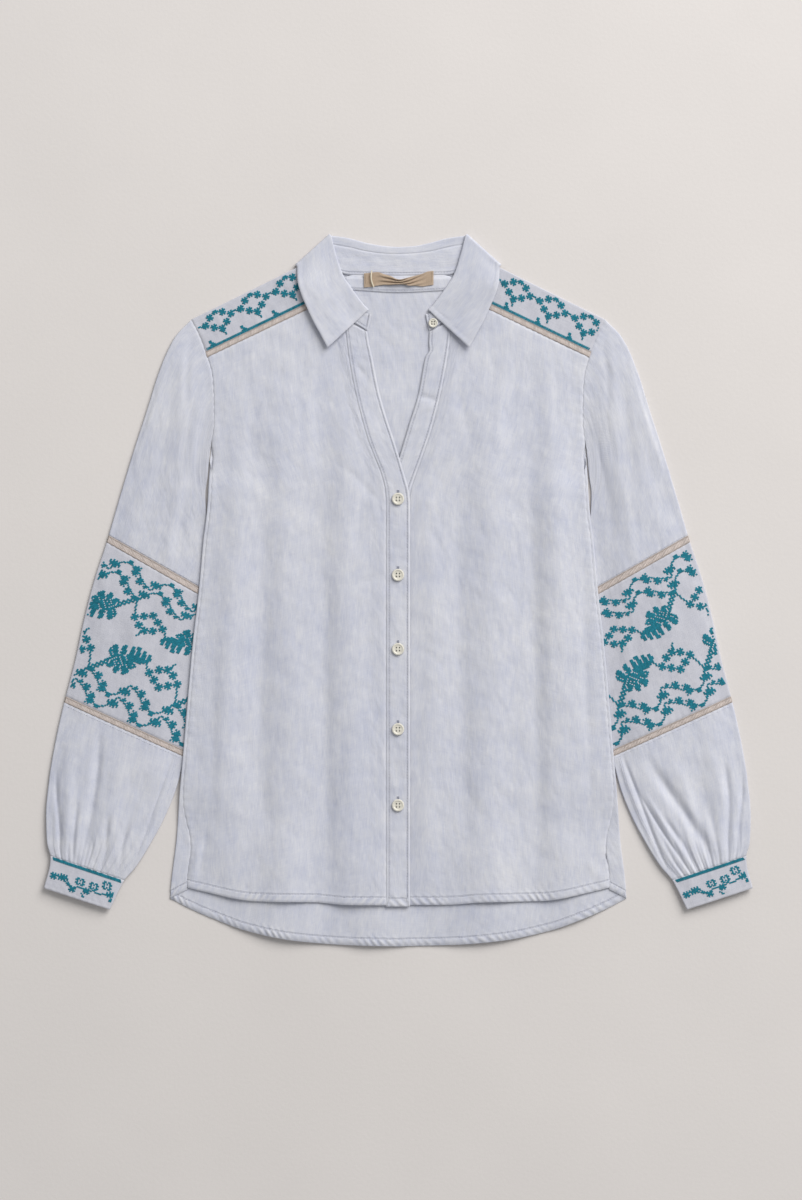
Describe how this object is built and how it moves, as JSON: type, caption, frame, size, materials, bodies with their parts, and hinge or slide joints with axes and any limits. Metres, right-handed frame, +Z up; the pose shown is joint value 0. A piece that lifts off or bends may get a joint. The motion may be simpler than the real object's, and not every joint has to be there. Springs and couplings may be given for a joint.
{
  "type": "folk shirt laid flat",
  "caption": "Long-sleeved folk shirt laid flat: pointed collar, open neck, buttoned placket, cross-stitched shoulders, sleeves and cuffs, and a curved hem that is longer behind.",
  "frame": {"origin": "centre of the laid-out shirt's outline, on the surface that it lies on", "axes": "+Z up out of the shirt's front, +Y towards the collar, +X towards the wearer's left"},
  "size_m": [0.7364, 0.7403, 0.0083],
  "materials": {
    "chambray": "washed light blue chambray",
    "embroidered_cloth": "paler grey-blue cloth with teal cross-stitch",
    "braid": "beige woven braid",
    "button_horn": "off-white, satin",
    "label_tape": "plain tan tape",
    "label_loop": "pale cord"
  },
  "bodies": {
    "root": {"back": "chambray", "button_1": "button_horn", "button_2": "button_horn", "button_3": "button_horn", "button_4": "button_horn", "button_5": "button_horn", "button_collar": "button_horn", "collar": "chambray", "collar_stand": "chambray", "cuff_left": "embroidered_cloth", "cuff_right": "embroidered_cloth", "front_left": "chambray", "front_right": "chambray", "label_loop": "label_loop", "neck_facing": "chambray", "neck_label": "label_tape", "placket_left": "chambray", "placket_right": "chambray", "sleeve_braid_lower_left": "braid", "sleeve_braid_lower_right": "braid", "sleeve_braid_upper_left": "braid", "sleeve_braid_upper_right": "braid", "sleeve_lower_left": "chambray", "sleeve_lower_right": "chambray", "sleeve_panel_left": "embroidered_cloth", "sleeve_panel_right": "embroidered_cloth", "sleeve_upper_left": "chambray", "sleeve_upper_right": "chambray", "yoke_braid_left": "braid", "yoke_braid_right": "braid", "yoke_left": "embroidered_cloth", "yoke_right": "embroidered_cloth"}
  },
  "joints": []
}
